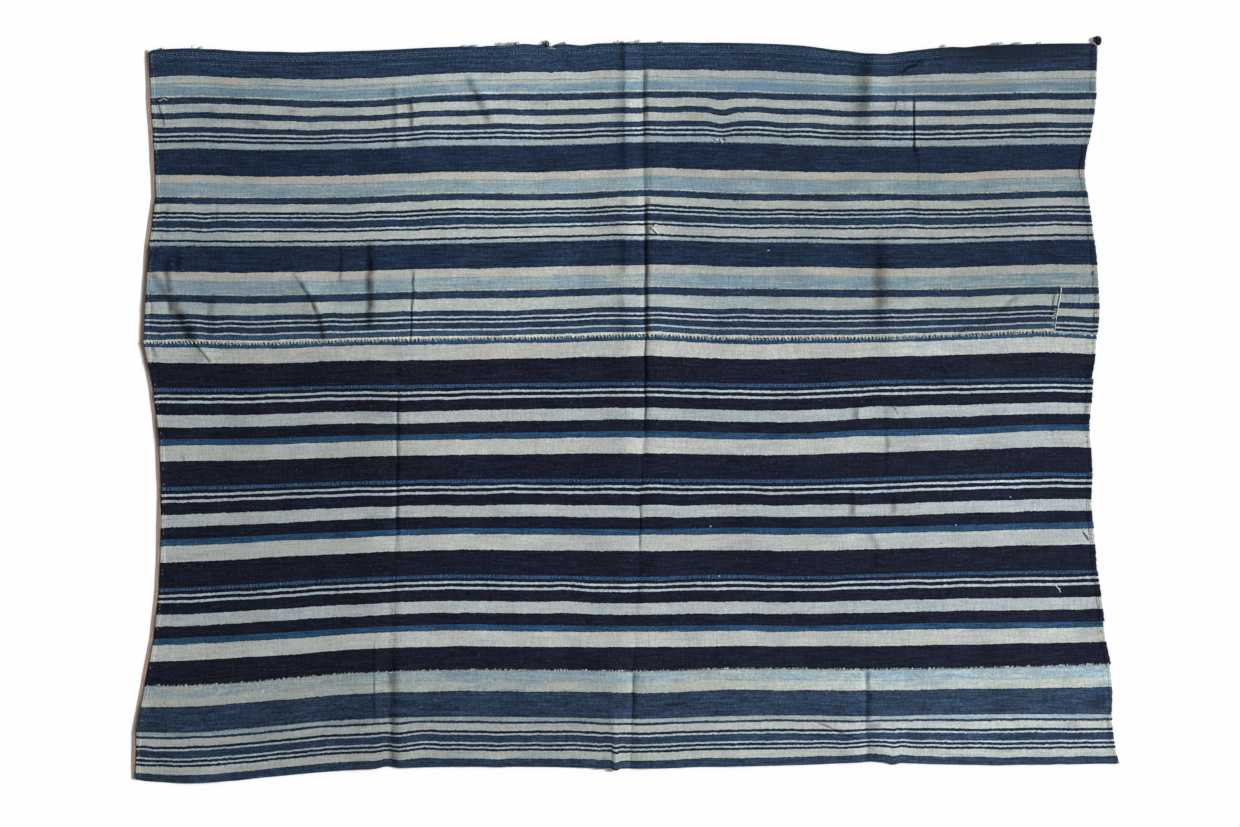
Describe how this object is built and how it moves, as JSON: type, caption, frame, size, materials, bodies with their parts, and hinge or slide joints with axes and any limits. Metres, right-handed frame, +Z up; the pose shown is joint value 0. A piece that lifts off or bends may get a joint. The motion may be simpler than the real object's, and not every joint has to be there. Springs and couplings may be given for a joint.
{
  "type": "indigo dyed strip-woven throw",
  "caption": "Flat cotton throw of narrow warp-striped strips sewn edge to edge, indigo, cream and light blue, with storage creases and hemmed ends.",
  "frame": {"origin": "middle of the cloth's box, on the surface that it lies on", "axes": "+Z up from that surface, +X along the strips towards the end with the short sewn-on piece, +Y across the strips towards the edge with the corner knot"},
  "size_m": [1.6228, 1.2302, 0.0082],
  "materials": {
    "light_strip_cloth": "plain-woven cotton, warp stripes of dark indigo, cream and light blue, matt",
    "navy_strip_cloth": "plain-woven cotton, narrow warp stripes of navy and cream, matt",
    "black_blue_cloth": "plain-woven cotton, warp stripes of near-black indigo, cream and bright blue, matt",
    "black_pale_cloth": "plain-woven cotton, near-black indigo warp with a pale middle stripe and dotted blue and white thread lines, matt",
    "mid_navy_cloth": "plain-woven cotton, warp stripes of mid navy, cream and light blue, matt",
    "thread": "tight knot of dark cotton thread",
    "pale_thread": "undyed cotton sewing thread and frayed ends"
  },
  "bodies": {
    "root": {"strip_01": "light_strip_cloth", "strip_02": "navy_strip_cloth", "strip_03": "light_strip_cloth", "strip_04": "navy_strip_cloth", "strip_05": "light_strip_cloth", "strip_06": "navy_strip_cloth", "end_piece": "navy_strip_cloth", "strip_07": "black_blue_cloth", "strip_08": "black_pale_cloth", "strip_09": "black_blue_cloth", "strip_10": "black_pale_cloth", "strip_11": "black_blue_cloth", "strip_12": "black_pale_cloth", "strip_13": "black_blue_cloth", "strip_14": "mid_navy_cloth", "strip_15": "mid_navy_cloth", "corner_knot": "thread"}
  },
  "joints": []
}
